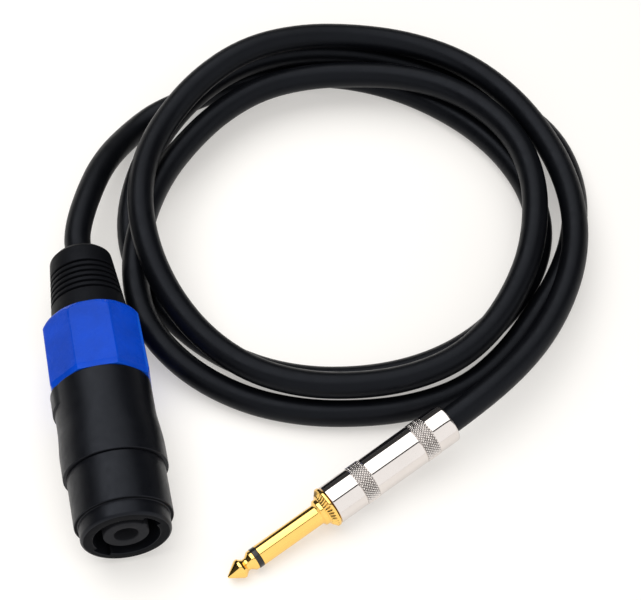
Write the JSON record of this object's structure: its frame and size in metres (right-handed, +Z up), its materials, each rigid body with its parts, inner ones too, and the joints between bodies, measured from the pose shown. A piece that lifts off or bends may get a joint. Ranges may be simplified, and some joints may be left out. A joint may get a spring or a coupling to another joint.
{
  "type": "instrument cable",
  "caption": "Coiled round cable with an inline locking speaker connector on one end and a quarter-inch mono plug on the other.",
  "frame": {"origin": "centre of the bottom of the box round the two connectors, at the surface the cable lies on", "axes": "+Z up; the speaker connector's axis lies along Y with its socket facing -Y; +X towards the coil and the plug"},
  "size_m": [0.1774, 0.1901, 0.0299],
  "materials": {
    "shell_plastic": "moulded black plastic, satin",
    "insert_plastic": "moulded black plastic, satin",
    "collar_plastic": "moulded blue plastic, semi-gloss",
    "chuck_plastic": "natural nylon",
    "boot_rubber": "soft black rubber, matte",
    "cable_jacket": "black PVC jacket, satin",
    "contact_metal": "silver-plated copper alloy",
    "screw_steel": "zinc-plated steel",
    "core_red": "PVC insulation",
    "core_black": "PVC insulation",
    "gold_plate": "polished gold plate",
    "nickel_plate": "polished nickel plate",
    "lug_brass": "plain brass",
    "ring_black": "black phenolic",
    "liner_clear": "clear PVC tube"
  },
  "bodies": {
    "root": {"front_shell": "shell_plastic", "body_shell": "shell_plastic", "contact_carrier": "insert_plastic", "contact_1_plus": "contact_metal", "contact_1_minus": "contact_metal", "contact_2_plus": "contact_metal", "contact_2_minus": "contact_metal", "terminal_screws": "screw_steel", "cable_chuck": "chuck_plastic", "connector_tail": "cable_jacket", "conductor_red": "core_red", "conductor_black": "core_black", "plug_tip": "gold_plate", "tip_insulator": "ring_black", "inner_insulator": "ring_black", "plug_sleeve": "gold_plate", "ground_lug": "lug_brass", "rear_washer": "ring_black", "tip_lug": "lug_brass", "plug_tail": "cable_jacket", "tip_conductor": "core_red", "sleeve_conductor": "core_black", "connector_lead": "cable_jacket", "coil": "cable_jacket", "plug_lead": "cable_jacket"},
    "boot": {"strain_relief_boot": "boot_rubber"},
    "collar": {"locking_collar": "collar_plastic"},
    "liner": {"insulating_tube": "liner_clear"},
    "barrel": {"plug_barrel": "nickel_plate"}
  },
  "joints": [
    {"name": "boot_slide", "type": "slide", "parent": "root", "child": "boot", "axis": [0, 1, 0], "range_m": [0, 0.0075]},
    {"name": "collar_turn", "type": "hinge", "parent": "boot", "child": "collar", "pos_m": [-0.0429, 0.0216, 0.015], "axis": [0, 1, 0], "range_deg": [0, 1080]},
    {"name": "liner_slide", "type": "slide", "parent": "root", "child": "liner", "axis": [0.9032, 0.4116, 0.1219], "range_m": [0, 0.005]},
    {"name": "barrel_turn", "type": "hinge", "parent": "liner", "child": "barrel", "pos_m": [0.03646, -0.03095, 0.00969], "axis": [0.9032, 0.4116, 0.1219], "range_deg": [0, 1800]}
  ],
  "couplings": [
    {"joint": "collar_turn", "follows": "boot_slide", "rad_per_m": 2513.3},
    {"joint": "barrel_turn", "follows": "liner_slide", "rad_per_m": 6283.2}
  ]
}
